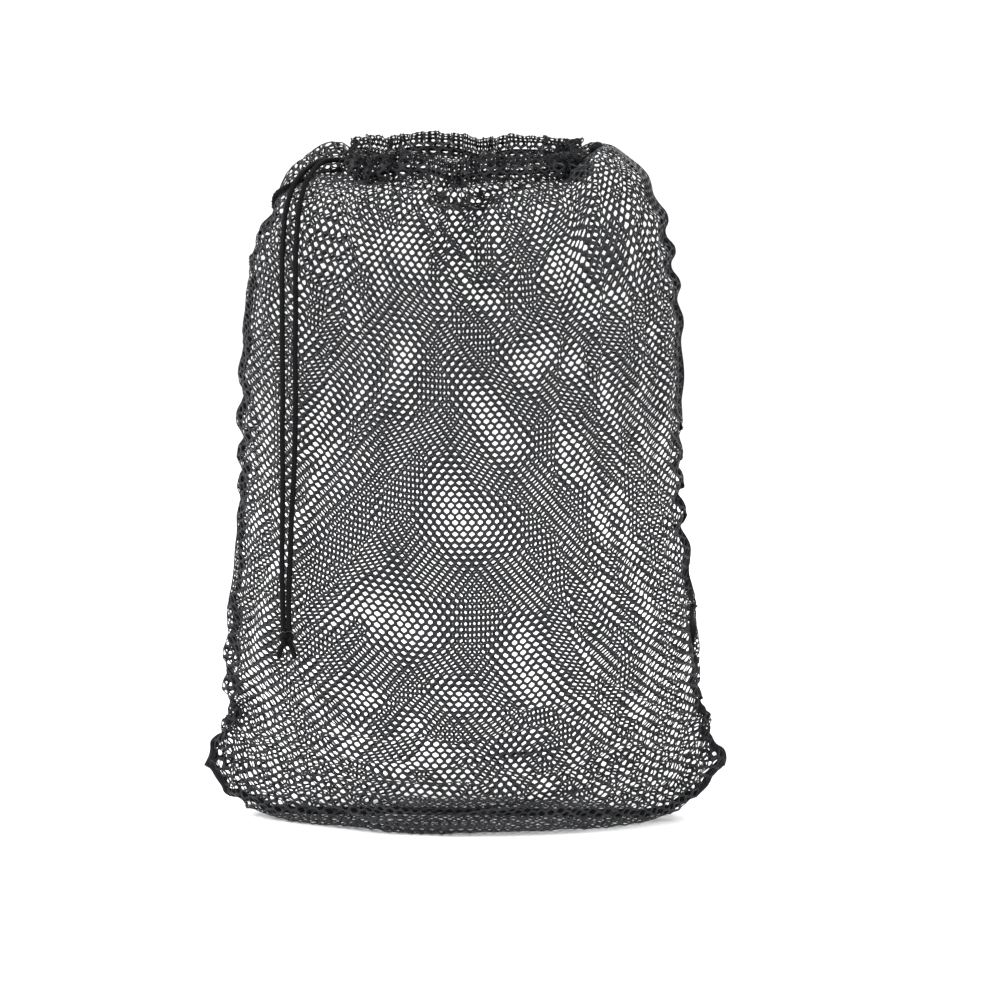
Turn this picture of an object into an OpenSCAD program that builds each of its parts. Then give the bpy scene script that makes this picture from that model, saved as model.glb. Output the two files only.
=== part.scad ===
// Drawstring laundry bag of open mesh, standing with its mouth partly drawn in.
// Millimetres. +Z is up, +X runs to the right along the bottom seam, and the front faces -Y.
// The origin is on the floor under the middle of the bag.

/* [Bag] */
// Width of the bag laid flat, which is the span between its two bottom corners
flat_w = 600; // [560:10:640]
// Height of the standing bag, up to the top of the ruffle at the back
stand_h = 790; // [760:10:830]
// Depth of the standing bag, front to back
belly_d = 270; // [250:10:290]
// Height of the bottom corners above the floor
corner_lift = 60; // [50:5:70]
// Thickness of the mesh cloth
cloth_t = 2; // [1.5:0.5:2.5]
// Width of the sewn allowance along each seam
seam_w = 9; // [7:1:11]

/* [Mouth] */
// Width of the drawn-in mouth, along X
mouth_w = 256; // [246:2:266]
// Depth of the drawn-in mouth, along Y
mouth_d = 140; // [134:2:146]
// How much higher the back of the rim is than its middle
rim_tilt = 12; // [8:1:14]
// Height of the sewn channel that holds the drawstring
channel_h = 24; // [22:1:28]
// Height of the ruffle above the channel
ruffle_h = 12; // [8:1:16]
// Width of the stretch of rim that moves in and out, front and back
lip_w = 180; // [160:5:185]

/* [Drawstring] */
// Diameter of the braided cord
cord_d = 6; // [5:0.5:6.5]
// Diameter of the hole that both ends of the cord leave by
exit_d = 16; // [15:0.5:18]
// Diameter of the end knot
knot_d = 18; // [16:1:20]

/* [Hidden] */

gap = 0.3;                          // clearance between neighbouring solids
seam_t = 2;                         // thickness of a seam allowance, two cloths overlocked
seam_edge = 1.5;                    // how far a seam stands proud of the panels
mesh_black = [0.10, 0.10, 0.11];
seam_black = [0.06, 0.06, 0.07];
cord_black = [0.03, 0.03, 0.04];
knot_black = [0.05, 0.05, 0.05];

half_w = flat_w / 2 - seam_edge;
half_d = belly_d / 2 - seam_t / 2 - gap - cloth_t;
wall_h = stand_h - rim_tilt - channel_h - ruffle_h - 2 * gap;
panel_gap = seam_t / 2 + gap;       // from the seam plane to a panel's inner face
ring_a = mouth_w / 2;               // half axes of the middle of the rim
ring_b = mouth_d / 2;
panel_cols = 25;
ring_steps = 60;
flat_share = 0.5;                   // share of the bottom seam that lies flat on the floor

// Sections up the bag. Each is: height as a share of wall_h, half width as a share of half_w,
// half depth as a share of half_d, lift of the seam as a share of corner_lift,
// pinch at the side seams (1 is an ellipse), and share of the rim's tilt.
sections = [
    [0.000, 1.000, 0.00, 1.00, 2.0, 0.0],
    [0.000, 0.998, 0.30, 1.02, 2.0, 0.0],
    [0.000, 0.992, 0.58, 1.06, 2.0, 0.0],
    [0.009, 0.980, 0.79, 1.10, 2.0, 0.0],
    [0.035, 0.955, 0.92, 1.05, 1.9, 0.0],
    [0.080, 0.920, 0.98, 0.80, 1.7, 0.0],
    [0.140, 0.888, 1.00, 0.50, 1.4, 0.0],
    [0.220, 0.872, 1.00, 0.22, 1.2, 0.0],
    [0.310, 0.860, 0.99, 0.05, 1.0, 0.0],
    [0.410, 0.825, 0.98, 0.00, 1.0, 0.0],
    [0.510, 0.800, 0.98, 0.00, 1.0, 0.0],
    [0.610, 0.812, 0.99, 0.00, 1.0, 0.0],
    [0.700, 0.826, 0.99, 0.00, 1.0, 0.0],
    [0.780, 0.826, 0.97, 0.00, 1.0, 0.0],
    [0.850, 0.808, 0.94, 0.00, 1.0, 0.0],
    [0.905, 0.775, 0.89, 0.00, 1.0, 0.1],
    [0.948, 0.715, 0.81, 0.00, 1.0, 0.3],
    [0.980, 0.610, 0.69, 0.00, 1.0, 0.7],
    [1.000, ring_a / half_w, (ring_b - panel_gap) / half_d, 0.00, 1.0, 1.0]
];
last = len(sections) - 1;

// Routes of the two free ends, from the exit hole to the knot
tail_front_route = [
    [-126, -3.2, 754], [-134, -3.2, 754], [-145, -6, 754], [-155, -13, 752], [-163, -24, 746],
    [-169, -38, 737], [-174, -53, 725], [-177, -67, 711], [-179, -80, 694], [-180, -90, 674],
    [-181, -97, 650], [-181, -102, 622], [-181, -105, 586], [-182, -106, 545], [-182, -107, 500],
    [-183, -107, 455], [-185, -107, 410], [-188, -107, 365], [-190, -107, 320],
    [-192, -107, 280], [-192, -107, 240]
];
tail_back_route = [
    [-126, 3.2, 754], [-134, 3.2, 754], [-147, 3, 754], [-160, -3, 752], [-171, -14, 746],
    [-180, -28, 737], [-187, -43, 725], [-191, -58, 711], [-194, -72, 694], [-195, -83, 674],
    [-196, -91, 650], [-196, -97, 622], [-196, -101, 586], [-196, -104, 545], [-196, -106, 500],
    [-197, -107, 455], [-197, -107, 410], [-198, -107, 365], [-199, -107, 320],
    [-199, -107, 280], [-198.4, -107, 240]
];
knot_at = [-195.2, -107, 231];
knot_spread = 22;                   // degrees between each trimmed end and the vertical
trim_l = 14;                        // length of each trimmed end below the knot
tail_rings = 39;
exit_z = wall_h + 2 * gap + channel_h / 2;

function unit(v) = v / max(norm(v), 1e-9);
function clamp(v, lo, hi) = min(max(v, lo), hi);

// How far the seam curves up towards a corner: 0 in the flat middle, 1 at the corner
function corner_rise(c) =
    let (r = clamp((abs(c) - flat_share) / (1 - flat_share), 0, 1))
    1 - sqrt(1 - r * r);

// Outer face of the front panel: row is a section, col runs from the right seam to the left,
// and drop is how far the middle of its rim dips
function face_point(row, col, drop = rim_tilt) =
    let (s = sections[clamp(row, 0, last)],
         angle = 180 * clamp(col, 0, panel_cols - 1) / (panel_cols - 1),
         across = cos(angle),
         out = pow(max(sin(angle), 0), s[4]))
    [half_w * s[1] * across,
     -panel_gap - cloth_t - half_d * s[2] * out,
     wall_h * s[0] + corner_lift * s[3] * corner_rise(across) - drop * s[5] * out];

// Inner face: one cloth's thickness inside, and clear of the seam plane
function inner_point(row, col, drop) =
    let (along = face_point(row + 1, col, drop) - face_point(row - 1, col, drop),
         over = face_point(row, col + 1, drop) - face_point(row, col - 1, drop),
         p = face_point(row, col, drop) + cloth_t * unit(cross(over, along)))
    [p[0], min(p[1], -panel_gap), p[2]];

// Two triangles for the cell whose corners are points a, b, c and d in turn
function cell(a, b, c, d) = [[a, b, c], [a, c, d]];

// One mesh panel, as the closed solid between its outer and inner faces
module panel(drop) {
    rows = last + 1;
    n = rows * panel_cols;
    points = [for (skin = [0, 1], r = [0:last], c = [0:panel_cols - 1])
              skin == 0 ? face_point(r, c, drop) : inner_point(r, c, drop)];
    faces = [
        for (r = [0:last - 1], c = [0:panel_cols - 2])
            let (p = r * panel_cols + c, q = p + panel_cols)
            each concat(cell(p, p + 1, q + 1, q), cell(n + p, n + q, n + q + 1, n + p + 1)),
        for (c = [0:panel_cols - 2])
            let (p = c, q = last * panel_cols + c)
            each concat(cell(p, n + p, n + p + 1, p + 1), cell(q, q + 1, n + q + 1, n + q)),
        for (r = [0:last - 1])
            let (p = r * panel_cols, q = p + panel_cols - 1)
            each concat(cell(p, p + panel_cols, n + p + panel_cols, n + p),
                        cell(q, n + q, n + q + panel_cols, q + panel_cols))
    ];
    polyhedron(points, faces, convexity = 10);
}

// A flat strip in the plane y = 0: edge holds its outer points, and inward its inner ones
module seam_strip(edge, inward) {
    n = len(edge);
    half = seam_t / 2;
    points = [for (k = [0:n - 1])
              each [[edge[k][0], -half, edge[k][1]], [edge[k][0], half, edge[k][1]],
                    [inward[k][0], half, inward[k][1]], [inward[k][0], -half, inward[k][1]]]];
    sides = [for (k = [0:n - 2], i = [0:3])
             let (a = 4 * k + i, b = 4 * k + (i + 1) % 4)
             each cell(a, a + 4, b + 4, b)];
    ends = concat(cell(0, 1, 2, 3), cell(4 * n - 1, 4 * n - 2, 4 * n - 3, 4 * n - 4));
    polyhedron(points, concat(sides, ends), convexity = 10);
}

// Unit normal of a curve in the XZ plane at point k, to the left of its direction
function side_normal(curve, k) =
    let (d = unit(curve[min(k + 1, len(curve) - 1)] - curve[max(k - 1, 0)]))
    [-d[1], d[0]];

// The right side seam from corner to rim, and the bottom seam from right to left
side_curve = [for (r = [0:last]) let (p = face_point(r, 0)) [p[0], p[2]]];
bottom_curve = [for (c = [2:panel_cols - 3]) let (p = face_point(0, c)) [p[0], p[2]]];

module side_seam() {
    seam_strip([for (k = [0:last]) side_curve[k] - seam_edge * side_normal(side_curve, k)],
               [for (k = [0:last]) side_curve[k] + seam_w * side_normal(side_curve, k)]);
}

module bottom_strip() {
    end = len(bottom_curve) - 1;
    seam_strip(bottom_curve,
               [for (k = [0:end]) bottom_curve[k] - seam_w * side_normal(bottom_curve, k)]);
}

// A point on the rim: angle round it, distance out from its middle line, height above the panels
function rim_point(angle, out, up) =
    let (n = unit([ring_b * cos(angle), ring_a * sin(angle)]))
    [ring_a * cos(angle) + out * n[0], ring_b * sin(angle) + out * n[1],
     wall_h + 2 * gap + rim_tilt * sin(angle) + up];

// An outline of [out, up] points carried once round the rim
module rim_sweep(outline) {
    m = len(outline);
    points = [for (k = [0:ring_steps - 1], p = outline) rim_point(360 * k / ring_steps, p[0], p[1])];
    faces = [for (k = [0:ring_steps - 1], i = [0:m - 1])
             let (next = (k + 1) % ring_steps, j = (i + 1) % m)
             each cell(k * m + i, k * m + j, next * m + j, next * m + i)];
    polyhedron(points, faces, convexity = 10);
}

// Channel section with the ruffle standing on it, and the cord's room inside
channel_half = cord_d / 2 + 2;
room_half = cord_d / 2 + 0.6;
ruffle_half = 1.5;
cord_up = channel_h / 2;
channel_outline = [
    [-channel_half, 0], [channel_half, 0], [channel_half, channel_h - 2],
    [ruffle_half, channel_h], [ruffle_half, channel_h + ruffle_h],
    [-ruffle_half, channel_h + ruffle_h], [-ruffle_half, channel_h], [-channel_half, channel_h - 2]
];
room_outline = [
    [-room_half, cord_up - 7], [room_half, cord_up - 7],
    [room_half, cord_up + 7], [-room_half, cord_up + 7]
];

module channel_ring() {
    difference() {
        rim_sweep(channel_outline);
        rim_sweep(room_outline);
    }
}

module cord_ring() {
    rim_sweep([for (k = [0:7]) cord_d / 2 * [cos(45 * k + 22.5), sin(45 * k + 22.5)] + [0, cord_up]]);
}

// The part of a ring that lies in front (side = -1) or at the back (side = 1)
module lip_part(side) {
    intersection() {
        children();
        translate([-lip_w / 2, side < 0 ? -mouth_d : 0, 0])
            cube([lip_w, mouth_d, 2 * stand_h]);
    }
}

// The part of a ring that lies at the left (side = -1) or the right (side = 1)
module end_part(side) {
    intersection() {
        children();
        translate([side < 0 ? -mouth_w : lip_w / 2 + gap, -mouth_d, 0])
            cube([mouth_w - lip_w / 2 - gap, 2 * mouth_d, 2 * stand_h]);
    }
}

// Smooth curve through a list of points, t counted in points from its start
function spline_point(pts, t) =
    let (e = len(pts) - 1,
         k = min(floor(t), e - 1),
         u = t - k,
         a = pts[max(k - 1, 0)], b = pts[k], c = pts[k + 1], d = pts[min(k + 2, e)])
    0.5 * (2 * b + (c - a) * u + (2 * a - 5 * b + 4 * c - d) * u * u
           + (3 * b - a - 3 * c + d) * u * u * u);

// A cord of eight sides along a route
module tail(route) {
    sides = 8;
    step = (len(route) - 1) / (tail_rings - 1);
    centres = [for (k = [0:tail_rings - 1]) spline_point(route, k * step)];
    points = [
        for (k = [0:tail_rings - 1])
            let (d = unit(centres[min(k + 1, tail_rings - 1)] - centres[max(k - 1, 0)]),
                 u = unit(cross(d, [0.2, 1, 0])),
                 v = cross(d, u))
            for (i = [0:sides - 1])
                centres[k] + cord_d / 2 * (cos(360 * i / sides) * u + sin(360 * i / sides) * v)
    ];
    tube = [for (k = [0:tail_rings - 2], i = [0:sides - 1])
            let (a = k * sides + i, b = k * sides + (i + 1) % sides)
            each cell(a, a + sides, b + sides, b)];
    start_cap = [[for (i = [0:sides - 1]) i]];
    end_cap = [[for (i = [sides - 1:-1:0]) (tail_rings - 1) * sides + i]];
    polyhedron(points, concat(tube, start_cap, end_cap), convexity = 10);
}

module front_panel() {
    color(mesh_black) panel(rim_tilt);
}

module back_panel() {
    color(mesh_black) mirror([0, 1, 0]) panel(-rim_tilt);
}

module side_seam_right() {
    color(seam_black) side_seam();
}

module side_seam_left() {
    color(seam_black) mirror([1, 0, 0]) side_seam();
}

module bottom_seam() {
    color(seam_black) bottom_strip();
}

module channel_front() {
    color(mesh_black) lip_part(-1) channel_ring();
}

module channel_back() {
    color(mesh_black) lip_part(1) channel_ring();
}

module channel_right() {
    color(mesh_black) end_part(1) channel_ring();
}

// The exit hole goes through the outer wall only
module channel_left() {
    color(mesh_black)
    difference() {
        end_part(-1) channel_ring();
        translate([-ring_a - 2 * channel_half, 0, exit_z]) rotate([0, 90, 0])
            cylinder(h = 2 * channel_half, d = exit_d, $fn = 12);
    }
}

module drawstring_front() {
    color(cord_black) lip_part(-1) cord_ring();
}

module drawstring_back() {
    color(cord_black) lip_part(1) cord_ring();
}

module drawstring_right() {
    color(cord_black) end_part(1) cord_ring();
}

// Both ends of the cord stop either side of the exit hole
module drawstring_left() {
    color(cord_black)
    difference() {
        end_part(-1) cord_ring();
        translate([-mouth_w, -exit_d / 2 - gap, 0])
            cube([mouth_w, exit_d + 2 * gap, 2 * stand_h]);
    }
}

module tail_front() {
    color(cord_black) tail(tail_front_route);
}

module tail_back() {
    color(cord_black) tail(tail_back_route);
}

// A round knot with the two trimmed ends of the cord below it
module end_knot() {
    color(knot_black)
    translate(knot_at) {
        hull() sphere(d = knot_d, $fn = 20);
        for (side = [-1, 1])
            rotate([0, side * knot_spread, 0])
                translate([0, 0, -knot_d / 2 - trim_l])
                    cylinder(h = trim_l + knot_d / 4, d = cord_d, $fn = 12);
    }
}

front_panel();
back_panel();
side_seam_left();
side_seam_right();
bottom_seam();
channel_front();
channel_back();
channel_left();
channel_right();
drawstring_front();
drawstring_back();
drawstring_left();
drawstring_right();
tail_front();
tail_back();
end_knot();
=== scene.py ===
import math

import bpy
import numpy as np
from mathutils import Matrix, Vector


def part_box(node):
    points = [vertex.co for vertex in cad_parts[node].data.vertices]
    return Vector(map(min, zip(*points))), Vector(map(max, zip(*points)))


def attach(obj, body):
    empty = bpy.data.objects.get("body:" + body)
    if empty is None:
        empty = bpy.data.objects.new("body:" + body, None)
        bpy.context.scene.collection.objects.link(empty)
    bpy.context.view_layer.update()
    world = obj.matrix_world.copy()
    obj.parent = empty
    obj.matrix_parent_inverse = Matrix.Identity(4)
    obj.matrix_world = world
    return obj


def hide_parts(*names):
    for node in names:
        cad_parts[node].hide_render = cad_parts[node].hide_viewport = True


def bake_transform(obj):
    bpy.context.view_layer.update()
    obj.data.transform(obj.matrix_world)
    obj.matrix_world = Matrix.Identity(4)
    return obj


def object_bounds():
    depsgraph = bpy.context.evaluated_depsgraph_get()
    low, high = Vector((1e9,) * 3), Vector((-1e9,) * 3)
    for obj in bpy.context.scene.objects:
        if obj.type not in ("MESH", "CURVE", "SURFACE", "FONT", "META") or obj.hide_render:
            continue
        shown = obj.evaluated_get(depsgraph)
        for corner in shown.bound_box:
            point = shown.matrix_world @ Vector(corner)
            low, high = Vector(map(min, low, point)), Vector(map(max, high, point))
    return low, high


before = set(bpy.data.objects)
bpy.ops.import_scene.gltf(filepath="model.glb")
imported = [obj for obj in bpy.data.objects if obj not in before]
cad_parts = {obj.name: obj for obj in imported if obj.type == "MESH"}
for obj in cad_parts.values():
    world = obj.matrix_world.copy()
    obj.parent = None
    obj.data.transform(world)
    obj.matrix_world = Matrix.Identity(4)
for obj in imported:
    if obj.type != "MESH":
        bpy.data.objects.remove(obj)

# The standing laundry bag of open black net. Metres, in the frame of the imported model.
cad_lo, cad_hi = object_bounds()


# ---------------------------------------------------------------- camera
VIEW_DISTANCE = 3.0
VIEW_ELEVATION = math.radians(8.5)
VIEW_TARGET = Vector((cad_lo.x + cad_hi.x, 0, cad_lo.z + cad_hi.z)) / 2 + Vector((0.041, 0, -0.025))
FOCAL_LENGTH = 94.9


def aim(obj, target):
    obj.rotation_euler = (target - obj.location).to_track_quat("-Z", "Y").to_euler()


camera = bpy.data.objects.new("camera", bpy.data.cameras.new("camera"))
bpy.context.scene.collection.objects.link(camera)
camera.data.lens = FOCAL_LENGTH
view_direction = Vector((0, -math.cos(VIEW_ELEVATION), math.sin(VIEW_ELEVATION)))
camera.location = VIEW_TARGET + VIEW_DISTANCE * view_direction
aim(camera, VIEW_TARGET)
bpy.context.scene.camera = camera


# ---------------------------------------------------------------- small tools
def unit(v):
    """Rows of v scaled to length 1."""
    return v / np.maximum(np.linalg.norm(v, axis=-1, keepdims=True), 1e-12)


def smooth(x):
    """0 below 0, 1 above 1, smooth between."""
    x = np.clip(x, 0, 1)
    return x * x * (3 - 2 * x)


def catmull(points, t):
    """Points at t, counted in points from the start, on the smooth curve through points."""
    points = np.asarray(points, float)
    end = len(points) - 1
    k = np.clip(np.floor(t).astype(int), 0, end - 1)
    u = (np.asarray(t) - k).reshape((-1,) + (1,) * (points.ndim - 1))
    a, b = points[np.maximum(k - 1, 0)], points[k]
    c, d = points[k + 1], points[np.minimum(k + 2, end)]
    return 0.5 * (2 * b + (c - a) * u + (2 * a - 5 * b + 4 * c - d) * u ** 2
                  + (3 * b - a - 3 * c + d) * u ** 3)


def evenly(points, step):
    """The polyline through points, resampled at even steps."""
    run = np.concatenate([[0], np.cumsum(np.linalg.norm(np.diff(points, axis=0), axis=1))])
    at = np.linspace(0, run[-1], max(2, int(round(run[-1] / step)) + 1))
    return np.stack([np.interp(at, run, points[:, k]) for k in range(3)], 1)


def add_mesh(name, verts, faces, material, uv=None):
    """A smooth-shaded mesh object. faces is one array, or several of different widths."""
    mesh = bpy.data.meshes.new(name)
    groups = faces if isinstance(faces, list) else [faces]
    groups = [g for g in groups if len(g)]
    loops = np.concatenate([g.ravel() for g in groups]).astype(np.int32)
    sizes = np.concatenate([np.full(len(g), g.shape[1]) for g in groups])
    starts = np.concatenate([[0], np.cumsum(sizes)[:-1]]).astype(np.int32)
    mesh.vertices.add(len(verts))
    mesh.vertices.foreach_set("co", np.asarray(verts, np.float32).ravel())
    mesh.loops.add(len(loops))
    mesh.loops.foreach_set("vertex_index", loops)
    mesh.polygons.add(len(sizes))
    mesh.polygons.foreach_set("loop_start", starts)
    if uv is not None:
        layer = mesh.uv_layers.new(name="cloth")
        layer.data.foreach_set("uv", np.asarray(uv, np.float32)[loops].ravel())
    mesh.update(calc_edges=True)
    mesh.validate()
    mesh.shade_smooth()
    mesh.materials.append(material)
    obj = bpy.data.objects.new(name, mesh)
    bpy.context.scene.collection.objects.link(obj)
    return obj


def sweep(path, ring, closed=False):
    """Vertices, faces and UVs of a tube along path. ring(s, angle) is its radius at distance s along it."""
    path = np.asarray(path, float)
    n = len(path)
    if closed:
        ahead = unit(np.roll(path, -1, 0) - np.roll(path, 1, 0))
    else:
        ahead = unit(np.gradient(path, axis=0))
    side = np.empty_like(path)
    side[0] = unit(np.cross(ahead[0], [0.31, 0.87, 0.38]))
    for k in range(1, n):
        side[k] = unit(side[k - 1] - ahead[k] * side[k - 1].dot(ahead[k]))
    up = np.cross(ahead, side)
    run = np.concatenate([[0], np.cumsum(np.linalg.norm(np.diff(path, axis=0), axis=1))])
    angle = 2 * math.pi * np.arange(ring.sides) / ring.sides
    radius = ring(run[:, None], angle[None, :])
    verts = path[:, None] + radius[..., None] * (np.cos(angle)[None, :, None] * side[:, None]
                                                 + np.sin(angle)[None, :, None] * up[:, None])
    a = np.arange(n if closed else n - 1)[:, None] * ring.sides + np.arange(ring.sides)[None]
    b = np.roll(a, -1, 1)
    quads = np.stack([a, b, b + ring.sides, a + ring.sides], -1).reshape(-1, 4) % (n * ring.sides)
    faces = [quads]
    if not closed:
        faces.append(np.stack([np.arange(ring.sides)[::-1], (n - 1) * ring.sides + np.arange(ring.sides)]))
    uv = np.stack(np.broadcast_arrays(angle[None] / (2 * math.pi) * 0.02, run[:, None]), -1).reshape(-1, 2)
    return verts.reshape(-1, 3), faces, uv


class Braid:
    """Radius of a round braid of two sets of crossing yarns, which pass over and under each other."""
    sides = 24
    sealed = 0.0025

    def __init__(self, radius, yarns=6, relief=0.00032, slope=1.1, taper=0.0, length=None):
        self.radius, self.yarns, self.relief = radius, yarns, relief
        self.pitch = 2 * math.pi * radius / slope
        self.taper, self.length = taper, length

    def __call__(self, s, angle):
        u = angle / (2 * math.pi) * self.yarns
        v = s / self.pitch * self.yarns
        left, right = u + v, u - v
        over = (np.floor(left) + np.floor(right)) % 2 == 0
        bulge = np.where(over, np.abs(np.sin(math.pi * left)), np.abs(np.sin(math.pi * right)))
        radius = self.radius - self.relief + self.relief * bulge ** 0.7
        if self.length:
            radius = radius * (1 - self.taper * smooth((s - self.length + self.sealed) / self.sealed))
        return radius


class Thread:
    """Radius of a plain thin thread."""
    sides = 5

    def __init__(self, radius):
        self.radius = radius

    def __call__(self, s, angle):
        return self.radius + 0 * s + 0 * angle


def joined(parts):
    """Several (verts, faces, uv) parts as one."""
    verts, uv, faces, base = [], [], {}, 0
    for part_verts, part_faces, part_uv in parts:
        verts.append(part_verts)
        uv.append(part_uv)
        for group in part_faces:
            faces.setdefault(group.shape[1], []).append(group + base)
        base += len(part_verts)
    return np.concatenate(verts), [np.concatenate(g) for g in faces.values()], np.concatenate(uv)


# ---------------------------------------------------------------- materials
def node_material(name, color, roughness, sheen, specular, build):
    """A procedural fabric. build(nodes, links, coords) returns the sockets that drive its colour, roughness
    and height, and the height's distance in metres."""
    material = bpy.data.materials.new(name)
    material.use_nodes = True
    nodes, links = material.node_tree.nodes, material.node_tree.links
    shader = nodes["Principled BSDF"]
    shader.inputs["Sheen Weight"].default_value = sheen
    shader.inputs["Sheen Roughness"].default_value = 0.4
    shader.inputs["Sheen Tint"].default_value = (0.75, 0.78, 0.85, 1)
    shader.inputs["Specular IOR Level"].default_value = specular
    uv = nodes.new("ShaderNodeUVMap")
    uv.uv_map = "cloth"
    tint, gloss, height, distance = build(nodes, links, uv.outputs["UV"])
    ramp = nodes.new("ShaderNodeValToRGB")
    ramp.color_ramp.elements[0].color = tuple(0.55 * c for c in color) + (1,)
    ramp.color_ramp.elements[1].color = tuple(1.5 * c for c in color) + (1,)
    links.new(tint, ramp.inputs["Fac"])
    links.new(ramp.outputs["Color"], shader.inputs["Base Color"])
    spread = nodes.new("ShaderNodeMapRange")
    spread.inputs["To Min"].default_value = roughness - 0.1
    spread.inputs["To Max"].default_value = roughness + 0.12
    links.new(gloss, spread.inputs["Value"])
    links.new(spread.outputs["Result"], shader.inputs["Roughness"])
    bump = nodes.new("ShaderNodeBump")
    bump.inputs["Strength"].default_value = 0.8
    bump.inputs["Distance"].default_value = distance
    links.new(height, bump.inputs["Height"])
    links.new(bump.outputs["Normal"], shader.inputs["Normal"])
    return material


def noise(nodes, links, coords, scale, detail=4, rough=0.55):
    node = nodes.new("ShaderNodeTexNoise")
    node.inputs["Scale"].default_value = scale
    node.inputs["Detail"].default_value = detail
    node.inputs["Roughness"].default_value = rough
    links.new(coords, node.inputs["Vector"])
    return node.outputs["Fac"]


def wave(nodes, links, coords, scale, direction, distortion=1.0):
    node = nodes.new("ShaderNodeTexWave")
    node.wave_type = "BANDS"
    node.bands_direction = direction
    node.inputs["Scale"].default_value = scale
    node.inputs["Distortion"].default_value = distortion
    node.inputs["Detail"].default_value = 2
    links.new(coords, node.inputs["Vector"])
    return node.outputs["Fac"]


def mixed(nodes, links, a, b, factor):
    node = nodes.new("ShaderNodeMix")
    node.inputs["Factor"].default_value = factor
    links.new(a, node.inputs["A"])
    links.new(b, node.inputs["B"])
    return node.outputs["Result"]


def knit(nodes, links, coords):
    """Warp-knit yarn: small loops up the strands, uneven filaments, and slow patches of lighter net."""
    loops = wave(nodes, links, coords, 420, "Y", 2.5)
    filaments = noise(nodes, links, coords, 2600)
    patches = noise(nodes, links, coords, 9, 3)
    tint = mixed(nodes, links, patches, filaments, 0.45)
    height = mixed(nodes, links, loops, filaments, 0.5)
    return tint, filaments, height, 0.0004


def braided(nodes, links, coords):
    """Braided yarn: fine filaments along each yarn, and slow wear along the cord."""
    filaments = noise(nodes, links, coords, 3000, 5, 0.7)
    wear = noise(nodes, links, coords, 30, 3)
    return mixed(nodes, links, wear, filaments, 0.5), wear, filaments, 0.0003


def sewn(nodes, links, coords):
    """Twisted sewing thread."""
    twist = wave(nodes, links, coords, 900, "DIAGONAL", 1.0)
    dust = noise(nodes, links, coords, 60, 3)
    return mixed(nodes, links, dust, twist, 0.4), twist, twist, 0.0002


NET = node_material("black_net", (0.012, 0.0124, 0.0144), 0.46, 0.08, 0.25, knit)
# The hem uses the same net, made darker and less shiny: painted shade for the dark inside of the gathered
# mouth.
SHADED_HEM_NET = node_material("black_net_painted_shade", (0.009, 0.0093, 0.0108), 0.50, 0.05, 0.20, knit)
CORD = node_material("black_braid", (0.003, 0.003, 0.0034), 0.62, 0.0, 0.07, braided)
THREAD = node_material("black_thread", (0.008, 0.008, 0.0095), 0.50, 0.03, 0.15, sewn)


# ---------------------------------------------------------------- free ends of the drawstring
CORD_D = 0.006
BRAID_STEP = 0.0008
MM = 0.001
TAIL_FRONT_ROUTE = MM * np.array([
    (-126, -3.2, 754), (-134, -3.2, 754), (-145, -6, 754), (-155, -13, 752), (-163, -24, 746),
    (-169, -38, 737), (-174, -53, 725), (-177, -67, 711), (-179, -80, 694), (-180, -90, 674),
    (-181, -97, 650), (-181, -102, 622), (-181, -105, 586), (-182, -106, 545), (-182, -107, 500),
    (-183, -107, 455), (-185, -107, 410), (-188, -107, 365), (-190, -107, 320),
    (-192, -107, 280), (-192, -107, 240)])
TAIL_BACK_ROUTE = MM * np.array([
    (-126, 3.2, 754), (-134, 3.2, 754), (-147, 3, 754), (-160, -3, 752), (-171, -14, 746),
    (-180, -28, 737), (-187, -43, 725), (-191, -58, 711), (-194, -72, 694), (-195, -83, 674),
    (-196, -91, 650), (-196, -97, 622), (-196, -101, 586), (-196, -104, 545), (-196, -106, 500),
    (-197, -107, 455), (-197, -107, 410), (-198, -107, 365), (-199, -107, 320),
    (-199, -107, 280), (-198.4, -107, 240)])
KNOT_AT = MM * np.array((-195.2, -107, 231))
KNOT_SCALE = 0.0021
TRIM_LENGTH = 0.024
TRIM_SPREAD = math.radians(22)


def dense(route):
    return evenly(catmull(route, np.linspace(0, len(route) - 1, 600)), BRAID_STEP)


def tied_knot():
    """A pulled-tight overhand knot, and the two trimmed ends below it, heat-sealed at their tips."""
    t = np.linspace(0, 2 * math.pi, 120, endpoint=False)
    loop = np.stack([np.sin(t) + 2 * np.sin(2 * t), -1.8 * np.sin(3 * t), np.cos(t) - 2 * np.cos(2 * t)], 1)
    parts = [sweep(KNOT_AT + KNOT_SCALE * loop, Braid(CORD_D / 2 - 0.0001), closed=True)]
    for side in (-1, 1):
        down = np.array((side * math.sin(TRIM_SPREAD), 0, -math.cos(TRIM_SPREAD)))
        at = np.linspace(0, TRIM_LENGTH, 34)[:, None]
        bow = np.array((side, 0.4, 0)) * 0.0015 * np.sin(at / TRIM_LENGTH * math.pi)
        parts.append(sweep(KNOT_AT + at * down + bow, Braid(CORD_D / 2, taper=0.35, length=TRIM_LENGTH)))
    return joined(parts)


verts, faces, uv = tied_knot()
knot = add_mesh("knot_tied", verts, faces, CORD, uv)
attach(knot, "tails")
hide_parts("end_knot")

for node, route in (("tail_front", TAIL_FRONT_ROUTE), ("tail_back", TAIL_BACK_ROUTE)):
    path = dense(route)
    verts, faces, uv = sweep(path, Braid(CORD_D / 2))
    tail = add_mesh(node + "_braid", verts, faces, CORD, uv)
    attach(tail, "tails")
    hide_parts(node)


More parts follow.
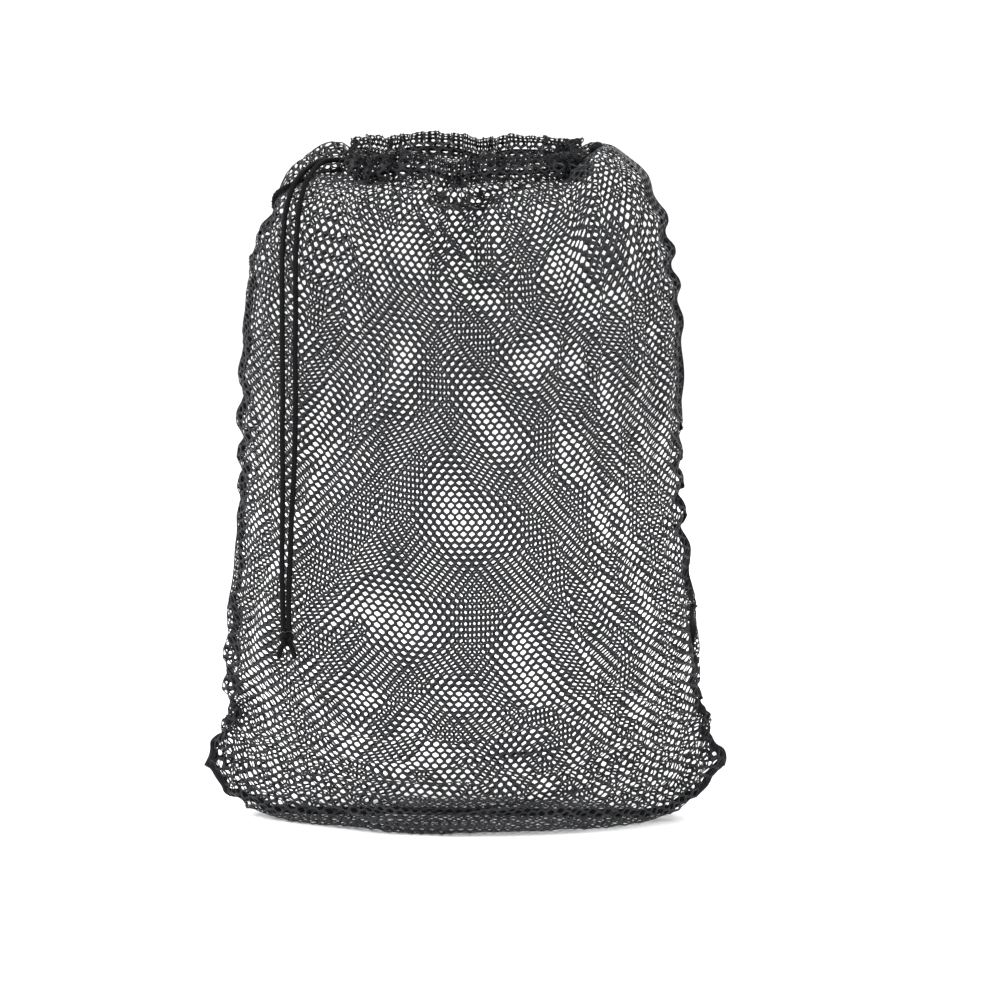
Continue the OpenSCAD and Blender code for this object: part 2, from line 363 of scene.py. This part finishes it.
# ---------------------------------------------------------------- shape of the filled bag
HOLE_PITCH_X = 0.0096
HOLE_PITCH_Y = 0.0065
HOLE_SHARE = 0.36
STRAND_HALF = 0.0006
FLAT_W = 0.600
FLAT_H = 0.864
panel_lo, panel_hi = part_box("front_panel")
HALF_W = panel_hi.x
HALF_D = -panel_lo.y
WALL_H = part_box("side_seam_left")[1].z
CORNER_LIFT = 0.060
rim_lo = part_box("channel_left")[0]
CHANNEL_HALF = 0.005
RIM_A = -rim_lo.x - CHANNEL_HALF
RIM_B = 0.070
RIM_TILT = 0.012
CHANNEL_H = 0.024
RUFFLE_H = 0.012
CORD_UP = CHANNEL_H / 2

LOFT_ROWS = 400
LOFT_COLS = 181

# Sections up the bag: height, half width, half depth, lift of the seam, pinch at the seams, tilt of the rim.
# All are shares of the sizes above, apart from the pinch, where 1 is an ellipse.
SECTIONS = np.array([
    (0.000, 1.000, 0.00, 1.00, 2.0, 0.0),
    (0.000, 0.998, 0.30, 1.02, 2.0, 0.0),
    (0.000, 0.992, 0.58, 1.06, 2.0, 0.0),
    (0.009, 0.980, 0.79, 1.10, 2.0, 0.0),
    (0.035, 0.955, 0.92, 1.05, 1.9, 0.0),
    (0.080, 0.920, 0.98, 0.80, 1.7, 0.0),
    (0.140, 0.888, 1.00, 0.50, 1.4, 0.0),
    (0.220, 0.872, 1.00, 0.22, 1.2, 0.0),
    (0.310, 0.860, 0.99, 0.05, 1.0, 0.0),
    (0.410, 0.825, 0.98, 0.00, 1.0, 0.0),
    (0.510, 0.800, 0.98, 0.00, 1.0, 0.0),
    (0.610, 0.812, 0.99, 0.00, 1.0, 0.0),
    (0.700, 0.826, 0.99, 0.00, 1.0, 0.0),
    (0.780, 0.826, 0.97, 0.00, 1.0, 0.0),
    (0.850, 0.808, 0.94, 0.00, 1.0, 0.0),
    (0.905, 0.775, 0.89, 0.00, 1.0, 0.1),
    (0.948, 0.715, 0.81, 0.00, 1.0, 0.3),
    (0.980, 0.610, 0.69, 0.00, 1.0, 0.7),
    (1.000, RIM_A / HALF_W, RIM_B / HALF_D, 0.00, 1.0, 1.0)])


def loft(side, rows, cols):
    """One face of the filled bag (side -1 is the front), as (rows, cols, 3) points, left to right and up.
    Rows and columns are evenly spaced along the cloth."""
    sections = catmull(SECTIONS, np.linspace(0, len(SECTIONS) - 1, LOFT_ROWS))[:, None]
    angle = np.linspace(math.pi, 0, LOFT_COLS)[None]
    across = np.cos(angle)
    out = np.maximum(np.sin(angle), 0) ** sections[..., 4]
    reach = np.clip((np.abs(across) - 0.5) / 0.5, 0, 1)
    grid = np.stack([
        HALF_W * sections[..., 1] * across,
        side * HALF_D * np.maximum(sections[..., 2], 0) * out,
        WALL_H * sections[..., 0] + CORNER_LIFT * sections[..., 3] * (1 - np.sqrt(1 - reach ** 2))
        + side * RIM_TILT * sections[..., 5] * out], -1)
    for count in (cols, rows):
        run = np.zeros(grid.shape[:2])
        run[:, 1:] = np.cumsum(np.linalg.norm(np.diff(grid, axis=1), axis=2), 1)
        even = np.stack([[np.interp(np.linspace(0, r[-1], count), r, line[:, k]) for k in range(3)]
                         for r, line in zip(run, grid)])
        grid = even.transpose(2, 0, 1)
    return grid


# Where the gathered cloth bunches round the rim, in radians from the left seam, front first
BUNCHES = (0.68, 1.50, 2.78, 3.60, 4.55, 5.45)
BUNCH_WIDTH = 0.17
BUNCH_SIZE = 1.25
PLEAT_CLOTH = 0.046


def rim_layout():
    """Angle round the rim, the cloth used up to there, and how many times longer than the rim it is there."""
    turn = np.linspace(0, 2 * math.pi, 2401)
    run = np.hypot(RIM_A * np.sin(turn), RIM_B * np.cos(turn))
    gather = 0.85 + sum(BUNCH_SIZE * np.exp(-((turn - at) / BUNCH_WIDTH) ** 2) for at in BUNCHES)
    cloth = np.zeros_like(turn)
    ratio = np.empty_like(turn)
    half = len(turn) // 2
    for part in (slice(0, half + 1), slice(half, len(turn))):
        rate = gather[part] * run[part]
        length = np.concatenate([[0], np.cumsum(0.5 * (rate[1:] + rate[:-1]) * np.diff(turn[part]))])
        cloth[part] = cloth[part.start] + length / length[-1] * FLAT_W
        ratio[part] = gather[part] * FLAT_W / length[-1]
    return turn, cloth, ratio


RIM_TURN, RIM_CLOTH, RIM_RATIO = rim_layout()


def rim_frame(s):
    """Middle of the rim and its outward normal, s metres of cloth round from the left seam, front first."""
    turn = np.interp(s, RIM_CLOTH, RIM_TURN)
    ratio = np.interp(s, RIM_CLOTH, RIM_RATIO)
    bearing = turn + math.pi
    sag = 0.004 * (ratio - 1) + 0.002 * np.sin(3 * turn + 1.0)
    cosine, sine = np.cos(bearing), np.sin(bearing)
    middle = np.stack([RIM_A * cosine, RIM_B * sine, RIM_TILT * sine - sag], -1)
    normal = unit(np.stack([RIM_B * cosine, RIM_A * sine, 0 * bearing], -1))
    return middle, normal


def pleat(s):
    """(swing, along, size): which way the gathered cloth stands off the middle of the rim, and how far."""
    ratio = np.interp(s, RIM_CLOTH, RIM_RATIO)
    turn = 2 * math.pi * np.asarray(s) / (2 * FLAT_W)
    phase = 2 * math.pi * np.asarray(s) / PLEAT_CLOTH
    phase = phase + 1.1 * np.sin(7 * turn + 0.7) + 0.8 * np.sin(11 * turn + 2.1)
    size = PLEAT_CLOTH * np.sqrt(np.maximum(1 - 1 / ratio ** 2, 0.05)) / 4.1
    size = size * (1 + 0.18 * np.sin(9 * turn + 0.3))
    return np.sin(phase), -0.10 * PLEAT_CLOTH / ratio * np.sin(2 * phase), size


def rim_point(s, out, up, along=0.0):
    """A point of the gathered rim: out from its middle line, and up from the top of the panels."""
    middle, normal = rim_frame(s)
    ahead = np.stack([-normal[..., 1], normal[..., 0], 0 * normal[..., 0]], -1)
    point = middle + np.asarray(out)[..., None] * normal + np.asarray(along)[..., None] * ahead
    point[..., 2] += WALL_H + up
    return point


# ---------------------------------------------------------------- cloth simulation of the pouch
GRID_ROWS = 94
GRID_COLS = 66
SIM_FRAMES = 46
# How far up the load's shoulders stand, and how deep the front fold goes into the load and the start shape
SHOULDER_RISE = 0.034
FOLD_DEPTH = 0.095
FOLD_START = 0.065
# Rows of cloth over which the gathers of the rim fade out
GATHER_ROWS = 12
# Each bottom corner is held softly along this many points of its seams, and pulled out to a pointed ear
EAR_PINS = 12
EAR_TIP = np.array([0.300, 0.0, 0.060])
EAR_SIDE = unit(np.array([-0.036, 0.0, 0.095]))
EAR_UNDER = unit(np.array([-0.057, 0.0, -0.046]))
# Blender's Cloth settings for a limp net that hardly stretches
NET_CLOTH = {
    "quality": 5,
    "mass": 0.15,
    "air_damping": 2,
    "tension_stiffness": 25,
    "compression_stiffness": 25,
    "shear_stiffness": 8,
    "bending_stiffness": 0.04,
    "tension_damping": 8,
    "compression_damping": 8,
    "shear_damping": 4,
    "bending_damping": 0.5,
    "vertex_group_mass": "rim",
}


def ring_grid(front, back):
    """Front columns left to right, then the back ones right to left, without repeating the seams."""
    return np.concatenate([front, back[:, -2:0:-1]], 1)


def lumpy(points, seed, count, low, high):
    """A smooth random field of about -1 to 1 over points, from waves between the two wave numbers."""
    rng = np.random.default_rng(seed)
    waves = unit(rng.normal(size=(count, 3))) * rng.uniform(low, high, (count, 1))
    return np.sin(points @ waves.T + rng.uniform(0, 2 * math.pi, count)).sum(-1) / math.sqrt(count)


def shoulder_rise(points):
    """How far the filled shoulders stand above the plain loft, beside the rim. They stay low at the front
    left, under the cord's free ends."""
    x, y, z = points[..., 0], points[..., 1], points[..., 2]
    beside_rim = smooth((np.abs(x) - 0.122) / 0.032)
    outward = 1 - 0.75 * smooth((np.abs(x) - 0.195) / 0.04)
    clear_of_tails = np.where(x < 0, smooth((y - 0.008) / 0.028), 1.0)
    reach = beside_rim * outward * smooth((z - 0.60) / 0.08)
    return SHOULDER_RISE * reach * clear_of_tails


def front_fold(points):
    """The deep fold under the middle of the front hem, as a share of 0 to 1."""
    x, y, z = points[..., 0], points[..., 1], points[..., 2]
    return np.exp(-((x - 0.004 - 0.3 * (0.7 - z)) / 0.034) ** 2 - ((z - 0.69) / 0.11) ** 2) * (y < 0)


def load_shape():
    """What fills the bag, as a closed lumpy mesh. It only pushes the cloth out, and is then removed."""
    rows, cols = 64, 44
    ring = ring_grid(loft(-1, rows, cols + 1), loft(1, rows, cols + 1))[:int(rows * 0.955)]
    bulges = lumpy(ring, seed=11, count=14, low=12, high=30)
    creases = lumpy(ring, seed=5, count=20, low=55, high=110)
    x, y, z = ring[..., 0].copy(), ring[..., 1].copy(), ring[..., 2].copy()
    low = np.clip((0.20 - z) / 0.12, 0, 1) * np.clip((np.abs(x) - 0.20) / 0.10, 0, 1)
    fold = front_fold(ring)
    rise = shoulder_rise(ring)
    wide = 0.958 + 0.035 * low + 0.010 * bulges * (1 - low)
    deep = 0.66 + 0.14 * smooth(z / 0.30)
    ring[..., 0] = x * wide + 0.0045 * creases * np.sign(x)
    ring[..., 1] = y * (deep + 0.09 * bulges + 0.035 * creases) * (1 - 0.55 * low)
    ring[..., 1] += FOLD_DEPTH * fold
    ring[..., 2] = np.maximum(z + rise, 0.004)
    verts = [ring.reshape(-1, 3)]
    for share in (0.85, 0.6, 0.3, 0.05):
        top = ring[-1].copy()
        top[:, :2] *= share
        top[:, 2] = z[-1] - 0.03 * (1 - share)
        verts.append(top)
    verts = np.concatenate(verts)
    width = ring.shape[1]
    a = np.arange(len(verts) // width - 1)[:, None] * width + np.arange(width)[None]
    b = np.roll(a, -1, 1)
    return verts, np.stack([a, b, b + width, a + width], -1).reshape(-1, 4)


def pull_ears(points):
    """Pulls both bottom corners of the start shape out into pointed ears with straight seams."""
    k = np.arange(EAR_PINS)
    fade = smooth((EAR_PINS - k) / 5)[:, None]
    for side, corner in ((-1, 0), (1, GRID_COLS)):
        flip = np.array([side, 1, 1])
        up = flip * (EAR_TIP + k[:, None] * FLAT_H / GRID_ROWS * EAR_SIDE) - points[:EAR_PINS, corner]
        under = flip * (EAR_TIP + k[:, None] * FLAT_W / GRID_COLS * EAR_UNDER) - points[0, corner - side * k]
        for row in range(EAR_PINS):
            for away in range(EAR_PINS):
                move = (fade * up)[row] if row >= away else (fade * under)[away]
                for col in {corner + away, corner - away}:
                    points[row, col % (2 * GRID_COLS)] += move * (1 - min(row, away) / EAR_PINS)


def collider(name, verts, faces, thickness):
    mesh = bpy.data.meshes.new(name)
    mesh.from_pydata([tuple(v) for v in verts], [], [tuple(f) for f in faces])
    obj = bpy.data.objects.new(name, mesh)
    bpy.context.scene.collection.objects.link(obj)
    obj.modifiers.new("collide", "COLLISION")
    obj.collision.thickness_outer = thickness
    obj.collision.cloth_friction = 10
    return obj


def start_shape(s):
    """The cloth before the simulation: filled, with ears, and gathered into the rim. s is the cloth's length
    round the bag at each column."""
    start = ring_grid(loft(-1, GRID_ROWS + 1, GRID_COLS + 1), loft(1, GRID_ROWS + 1, GRID_COLS + 1))
    start[..., 2] += shoulder_rise(start)
    start[..., 1] += FOLD_START * front_fold(start)
    pull_ears(start)
    swing, along, size = pleat(s)
    top = rim_point(s, swing * size, 0.0, along)
    for k in range(GATHER_ROWS):
        share = (1 - k / GATHER_ROWS) ** 1.5
        start[GRID_ROWS - k] += share * (top - rim_point(s, 0 * s, 0.0))
    start[GRID_ROWS] = top
    return start


def flat_shape(s):
    """The same cloth laid flat, which gives its rest lengths. The two panels stand a hair apart."""
    flat = np.empty((GRID_ROWS + 1, len(s), 3))
    across = np.where(s <= FLAT_W, s, 2 * FLAT_W - s)
    flat[..., 0] = across - FLAT_W / 2
    flat[..., 1] = np.where(s <= FLAT_W, -1, 1) * 0.003 * np.sin(math.pi * across / FLAT_W)
    flat[..., 2] = np.linspace(0, FLAT_H, GRID_ROWS + 1)[:, None]
    return flat


def sewn_pouch(start, flat):
    """The pouch as a mesh whose layers share the vertices of the bottom seam, with its flat shape and pins.
    Returns the object, its flat shape key, and the vertex at each point of the grid."""
    index = np.arange(start.shape[0] * start.shape[1]).reshape(start.shape[:2])
    back = np.arange(GRID_COLS + 1, 2 * GRID_COLS)
    index[0, back] = index[0, 2 * GRID_COLS - back]
    used, compact = np.unique(index, return_inverse=True)
    compact = compact.reshape(index.shape)
    a, b = compact, np.roll(compact, -1, 1)
    quads = np.stack([a[:-1], b[:-1], b[1:], a[1:]], -1).reshape(-1, 4)
    mesh = bpy.data.meshes.new("pouch")
    mesh.from_pydata([tuple(v) for v in start.reshape(-1, 3)[used]], [], [tuple(q) for q in quads])
    pouch = bpy.data.objects.new("pouch", mesh)
    bpy.context.scene.collection.objects.link(pouch)
    pouch.shape_key_add(name="filled")
    rest = pouch.shape_key_add(name="flat")
    rest.data.foreach_set("co", flat.reshape(-1, 3)[used].astype(np.float32).ravel())
    pinned = pouch.vertex_groups.new(name="rim")
    pinned.add([int(i) for i in compact[-1]], 1.0, "REPLACE")
    for k in range(EAR_PINS):
        for corner in (compact[k, 0], compact[k, GRID_COLS], compact[0, k], compact[0, GRID_COLS - k]):
            pinned.add([int(corner)], 1 - (k / EAR_PINS) ** 2, "REPLACE")
    return pouch, rest, compact


def drape():
    """(rows, columns, 3) points of the pouch: two flat panels, sewn together, filled and left to settle."""
    s = np.arange(2 * GRID_COLS) * FLAT_W / GRID_COLS
    start = start_shape(s)
    ruffled = lumpy(start[:-1], seed=3, count=30, low=90, high=220)
    start[1:-1] *= 1 + 0.010 * ruffled[1:, :, None] * np.array([1, 1, 0])
    pouch, rest, compact = sewn_pouch(start, flat_shape(s))
    tools = [collider("load", *load_shape(), 0.003),
             collider("ground", [(-1, -1, 0), (1, -1, 0), (1, 1, 0), (-1, 1, 0)], [(0, 1, 2, 3)], 0.001)]
    cloth = pouch.modifiers.new("cloth", "CLOTH")
    for setting, value in NET_CLOTH.items():
        setattr(cloth.settings, setting, value)
    cloth.settings.rest_shape_key = rest
    cloth.collision_settings.distance_min = 0.002
    cloth.collision_settings.collision_quality = 2
    cloth.collision_settings.use_self_collision = False
    scene = bpy.context.scene
    scene.frame_start, scene.frame_end = 1, SIM_FRAMES
    cloth.point_cache.frame_start, cloth.point_cache.frame_end = 1, SIM_FRAMES
    for frame_number in range(1, SIM_FRAMES + 1):
        scene.frame_set(frame_number)
    done = pouch.evaluated_get(bpy.context.evaluated_depsgraph_get())
    points = np.empty(3 * len(done.data.vertices))
    done.data.vertices.foreach_get("co", points)
    grid = points.reshape(-1, 3)[compact]
    scene.frame_set(1)
    for obj in [pouch] + tools:
        bpy.data.objects.remove(obj)
    return grid


def puckered(points):
    """The pouch with the small gathers that the tight seams leave along both sides, and clear of the floor.
    Beside the seams, the front and back layers are kept apart."""
    points = points.copy()
    s = np.arange(points.shape[1]) * FLAT_W / GRID_COLS
    up = np.linspace(0, FLAT_H, points.shape[0])
    for seam_at, side in ((0.0, -1), (FLAT_W, 1)):
        apart = np.abs((s - seam_at + FLAT_W) % (2 * FLAT_W) - FLAT_W)
        beside = smooth((0.05 - apart) / 0.03)[None, :, None]
        above_ears = smooth((up[1:-1] - 0.05) / 0.08)[:, None, None]
        for _ in range(3):
            middle = 0.25 * points[:-2] + 0.5 * points[1:-1] + 0.25 * points[2:]
            points[1:-1] += beside * above_ears * (middle - points[1:-1])
        seam_y = points[:, [0 if side < 0 else GRID_COLS], 1]
        room = np.where(apart < 0.10, 0.09 * apart, -1.0)
        points[..., 1] = np.where(s <= FLAT_W, np.minimum(points[..., 1], seam_y - room),
                                  np.maximum(points[..., 1], seam_y + room))
        fade = smooth(up / 0.03) * smooth((FLAT_H - up) / 0.05)
        sway = np.sin(up * 96 + 2.1 * np.sin(up * 17 + side)) * (0.7 + 0.4 * np.sin(up * 31 + 2 * side))
        tuck = np.sin(up * 131 + 1.7 * np.sin(up * 23 + 3 * side)) * (0.6 + 0.5 * np.sin(up * 19 + side))
        near = np.exp(-(apart / 0.040) ** 2)
        points[..., 1] += 0.0055 * (fade * sway)[:, None] * near
        points[..., 0] += side * 0.0040 * (fade * tuck)[:, None] * near
    points[..., 2] = np.maximum(points[..., 2], STRAND_HALF)
    return points


grid = puckered(drape())
front_grid = grid[:, :GRID_COLS + 1]
back_grid = np.concatenate([grid[:, GRID_COLS:], grid[:, :1]], 1)


# ---------------------------------------------------------------- net
def net(width, height, place):
    """Net with real holes in staggered rows. place((n, 2) cloth points) gives their positions and normals.
    The number of rows is even, so that the holes of a folded net don't line up."""
    cols = int(round(width / HOLE_PITCH_X))
    rows = 2 * int(round(height / HOLE_PITCH_Y / 2))
    px, py = width / cols, height / rows
    peak = (px ** 2 / 4 + py ** 2) / (2 * py)
    outline = np.array([(px / 2, peak - py), (px / 2, py - peak), (0, peak),
                        (-px / 2, py - peak), (-px / 2, peak - py), (0, -peak)])
    centres = np.array([((i + 0.5 - 0.5 * (j % 2)) * px, (j + 0.5) * py)
                        for j in range(rows) for i in range(cols + j % 2)])
    border = np.array([width, height])
    edge = np.clip(centres[:, None] + outline, 0, border)
    radius = HOLE_SHARE * np.array([px, py * 1.38])
    hole = np.clip(centres[:, None] + radius * unit(outline), 0, border)
    keys, weld = np.unique(np.round(edge.reshape(-1, 2) * 1e6).astype(np.int64), axis=0, return_inverse=True)
    weld = weld.reshape(edge.shape[:2])
    top = weld
    bottom = weld + len(keys)
    inner = 2 * len(keys) + np.arange(hole.shape[0] * 6).reshape(-1, 6)
    next_top, next_bottom, next_inner = (np.roll(a, -1, 1) for a in (top, bottom, inner))
    quads = np.concatenate([
        np.stack([top, next_top, next_inner, inner], -1).reshape(-1, 4),
        np.stack([next_bottom, bottom, inner, next_inner], -1).reshape(-1, 4)])
    flat = np.concatenate([keys / 1e6, keys / 1e6, hole.reshape(-1, 2)])
    ends, next_ends = edge, np.roll(edge, -1, 1)
    on_border = ((np.abs(ends - next_ends) < 1e-9) & ((ends < 1e-9) | (ends > border - 1e-9))).any(-1)
    on_border &= np.linalg.norm(ends - next_ends, axis=-1) > 1e-6
    walls = np.stack([next_top, top, bottom, next_bottom], -1)[on_border]
    quads = np.concatenate([quads, walls])
    a, b, c, d = (flat[quads[:, k]] for k in range(4))
    area = np.abs(np.cross(c - a, d - b))
    wall = np.arange(len(quads)) >= len(quads) - len(walls)
    quads = quads[(area > 1e-9) | wall]
    lift = np.concatenate([np.full(len(keys), STRAND_HALF), np.full(len(keys), -STRAND_HALF),
                           np.zeros(hole.shape[0] * 6)])
    points, normals = place(flat)
    return points + lift[:, None] * normals, quads, flat


def on_grid(cloth_grid):
    """A place() for a panel, from the grid of its cloth."""
    rows, cols = cloth_grid.shape[:2]

    def weights(t, count):
        k = np.clip(np.floor(t).astype(int), 0, count - 2)
        u = t - k
        w = 0.5 * np.stack([-u + 2 * u ** 2 - u ** 3, 2 - 5 * u ** 2 + 3 * u ** 3,
                            u + 4 * u ** 2 - 3 * u ** 3, -u ** 2 + u ** 3], -1)
        return np.clip(k[:, None] + np.arange(-1, 3), 0, count - 1), w

    def at(flat):
        i, wi = weights(flat[:, 0] / FLAT_W * (cols - 1), cols)
        j, wj = weights(flat[:, 1] / FLAT_H * (rows - 1), rows)
        patch = cloth_grid[j[:, :, None], i[:, None, :]]
        return np.einsum("na,nb,nabk->nk", wj, wi, patch)

    def place(flat):
        step = 0.0015
        low, high = np.zeros(2), np.array([FLAT_W, FLAT_H])
        along = at(np.clip(flat + (step, 0), low, high)) - at(np.clip(flat - (step, 0), low, high))
        up = at(np.clip(flat + (0, step), low, high)) - at(np.clip(flat - (0, step), low, high))
        return at(flat), unit(np.cross(along, up))

    return place


LIPS = (("front", -1, 0.0), ("back", 1, FLAT_W))


def bend_with_lip(obj):
    """Bakes the object's placement into its mesh."""
    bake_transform(obj)


for name, side, _ in LIPS:
    verts, quads, uv = net(FLAT_W, FLAT_H, on_grid(front_grid if side < 0 else back_grid))
    panel = add_mesh("net_" + name, verts, quads, NET, uv)
    bend_with_lip(panel)
    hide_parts(name + "_panel")


# ---------------------------------------------------------------- gathered hem
# Height of the hem's cloth before folding, half the gap between its two layers, how far they stand off the
# rim's middle line round the cord, and the cloth left open at the cord's exit
HEM_T = 2 * (CHANNEL_H + RUFFLE_H)
LAYER = 0.0008
AROUND_CORD = 0.0046
EXIT_GAP = 0.013


def hem_point(s, t):
    """A point of the hem. t runs up the outer layer, over the top of the ruffle and down the inner layer."""
    outer = t <= HEM_T / 2
    up = np.where(outer, t, HEM_T - t)
    sign = np.where(outer, 1.0, -1.0)
    swing, along, size = pleat(s)
    hug = smooth(up / 0.009) * smooth((CHANNEL_H - 0.001 - up) / 0.008)
    flare = smooth((up - CHANNEL_H + 0.003) / (RUFFLE_H + 0.003))
    turn = 2 * math.pi * s / (2 * FLAT_W)
    ragged = np.sin(31 * turn + 0.4) * np.sin(13 * turn + 1.9)
    pinched = swing * size * (0.80 + 0.45 * flare) + sign * LAYER
    wrapped = sign * (AROUND_CORD + size * 0.75 * (1 + sign * swing))
    out = pinched * (1 - hug) + wrapped * hug + 0.002 * flare * ragged
    top = up - flare * (0.0035 + 0.0020 * ragged + 0.0015 * np.sin(5 * turn + 0.8))
    return rim_point(s, out, top, along * (1 - 0.3 * flare))


def on_hem(first):
    """A place() for the hem whose cloth starts at first, measured round the mouth."""
    def at(flat):
        return hem_point(first + flat[:, 0], flat[:, 1])

    def place(flat):
        step = 0.0006
        along = at(flat + (step, 0)) - at(flat - (step, 0))
        up = at(np.clip(flat + (0, step), 0, None)) - at(np.clip(flat - (0, step), 0, None))
        return at(flat), unit(np.cross(along, up))

    return place


def stitches(first, width):
    """Two rows of running stitches, through both layers, below and above the cord."""
    parts = []
    for up in (0.0025, CHANNEL_H - 0.0015):
        for s in np.arange(first + 0.002, first + width - 0.004, 0.0062):
            at = s + np.linspace(0, 0.0040, 5)
            bow = np.array([0, 0.0009, 0.0011, 0.0009, 0])
            points = hem_point(at, np.full(5, up))
            _, normal = rim_frame(at)
            parts.append(sweep(points + bow[:, None] * normal, Thread(0.0004)))
    return joined(parts)


for name, side, first in LIPS:
    start = first + (EXIT_GAP if side < 0 else 0.0)
    width = FLAT_W - EXIT_GAP
    verts, quads, uv = net(width, HEM_T, on_hem(start))
    hem = add_mesh("hem_" + name, verts, quads, SHADED_HEM_NET, uv)
    bend_with_lip(hem)
    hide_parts("channel_" + name, "channel_left" if side < 0 else "channel_right")
    verts, faces, uv = stitches(start, width)
    stitch = add_mesh("hem_stitching_" + name, verts, faces, THREAD, uv)
    bend_with_lip(stitch)


# ---------------------------------------------------------------- cord inside the hem
def cord_run(side):
    """Half of the drawstring, from the exit at the left, round the front or the back, to the right."""
    turn = np.linspace(0.125, math.pi, 400)
    s = np.interp(turn if side < 0 else 2 * math.pi - turn, RIM_TURN, RIM_CLOTH)
    return evenly(rim_point(s, 0 * s, CORD_UP), BRAID_STEP)


for name, side, _ in LIPS:
    verts, faces, uv = sweep(cord_run(side), Braid(CORD_D / 2))
    run = add_mesh("drawstring_run_" + name, verts, faces, CORD, uv)
    bend_with_lip(run)
    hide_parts("drawstring_" + name, "drawstring_left" if side < 0 else "drawstring_right")


# ---------------------------------------------------------------- seams
SEAM_W = 0.009
SEAM_HALF = 0.0011
SEAM_SIDES = 12
STITCH_PITCH = 0.0032


def seam(line, inward, across):
    """The sewn allowance inside a seam, with overlocking threads round it."""
    n = len(line)
    angle = 2 * math.pi * np.arange(SEAM_SIDES) / SEAM_SIDES
    depth = SEAM_W / 2 * (1 - np.cos(angle)) - 0.0012
    thick = SEAM_HALF * np.sin(angle) * (1 + 0.25 * np.cos(angle))
    verts = line[:, None] + depth[None, :, None] * inward[:, None] + thick[None, :, None] * across[:, None]
    a = np.arange(n - 1)[:, None] * SEAM_SIDES + np.arange(SEAM_SIDES)[None]
    b = np.roll(a, -1, 1)
    quads = np.stack([a, b, b + SEAM_SIDES, a + SEAM_SIDES], -1).reshape(-1, 4)
    caps = np.stack([np.arange(SEAM_SIDES)[::-1], (n - 1) * SEAM_SIDES + np.arange(SEAM_SIDES)])
    run = np.concatenate([[0], np.cumsum(np.linalg.norm(np.diff(line, axis=0), axis=1))])
    uv = np.stack(np.broadcast_arrays(depth[None], run[:, None]), -1).reshape(-1, 2)
    parts = [(verts.reshape(-1, 3), [quads, caps], uv)]
    for face in (-1, 1):
        at = np.arange(0, run[-1], STITCH_PITCH / 2)
        where = np.where(np.arange(len(at)) % 2 == 0, 0.0018, SEAM_W - 0.0008)
        lean = np.where(np.arange(len(at)) % 2 == 0, 1.0, 0.3)
        middle, inside, outside = (np.stack([np.interp(at, run, f[:, k]) for k in range(3)], 1)
                                   for f in (line, inward, across))
        zigzag = (middle + where[:, None] * inside
                  + (face * (SEAM_HALF * 0.9 + 0.0002) * lean)[:, None] * outside)
        parts.append(sweep(zigzag, Thread(0.00038)))
        needle = middle + 0.0022 * inside + face * (SEAM_HALF + 0.0002) * outside
        parts.append(sweep(needle, Thread(0.00045)))
    return joined(parts)


def column_seam(col, front_next, back_next):
    """Line, inward direction and thickness direction along a side seam of the draped pouch."""
    finer = np.linspace(0, GRID_ROWS, 3 * GRID_ROWS + 1)
    line = catmull(grid[:, col], finer)
    near = 0.5 * (grid[:, front_next] + grid[:, back_next])
    inward = unit(catmull(near - grid[:, col], finer))
    ahead = unit(np.gradient(line, axis=0))
    inward = unit(inward - ahead * (inward * ahead).sum(1, keepdims=True))
    return line, inward, np.cross(ahead, inward)


SEAMS = (("side_seam_left", column_seam(0, 2, -2)),
         ("side_seam_right", column_seam(GRID_COLS, GRID_COLS - 2, GRID_COLS + 2)))
for node, (line, inward, across) in SEAMS:
    verts, faces, uv = seam(line, inward, across)
    obj = add_mesh(node + "_overlock", verts, faces, THREAD, uv)
    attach(obj, "bag")
    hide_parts(node)

line = catmull(front_grid[0], np.linspace(0, GRID_COLS, 3 * GRID_COLS + 1))
ahead = unit(np.gradient(line, axis=0))
inward = unit(np.cross(np.array([0.0, -1, 0]), ahead))
verts, faces, uv = seam(line + 0.0012 * inward, inward, np.cross(ahead, inward))
bottom = add_mesh("bottom_seam_overlock", verts, faces, THREAD, uv)
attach(bottom, "bag")
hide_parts("bottom_seam")


# ---------------------------------------------------------------- floor and light
def plain_material(name, color, roughness):
    material = bpy.data.materials.new(name)
    material.use_nodes = True
    shader = material.node_tree.nodes["Principled BSDF"]
    shader.inputs["Base Color"].default_value = color + (1,)
    shader.inputs["Roughness"].default_value = roughness
    return material


def soft_light(name, place, size, watts):
    light = bpy.data.lights.new(name, "AREA")
    light.size = size
    light.energy = watts
    obj = bpy.data.objects.new(name, light)
    obj.location = place
    aim(obj, Vector((0, 0, 0.4)))
    bpy.context.scene.collection.objects.link(obj)


FLOOR = 12.0
corners = FLOOR * np.array([(-1, -1, 0), (1, -1, 0), (1, 1, 0), (-1, 1, 0)], float)
pale = plain_material("pale_floor", (0.88, 0.88, 0.88), 0.7)
floor = add_mesh("floor", corners, np.array([[0, 1, 2, 3]]), pale)

soft_light("key_light", (-1.9, -1.5, 2.3), 0.9, 95)
soft_light("fill_light", (2.3, -1.6, 1.3), 1.2, 25)
soft_light("back_light", (1.0, 2.2, 2.4), 1.2, 60)
world = bpy.data.worlds.new("studio")
world.use_nodes = True
world.node_tree.nodes["Background"].inputs["Color"].default_value = (1, 1, 1, 1)
world.node_tree.nodes["Background"].inputs["Strength"].default_value = 1.2
bpy.context.scene.world = world
bpy.context.scene.view_settings.view_transform = "Standard"
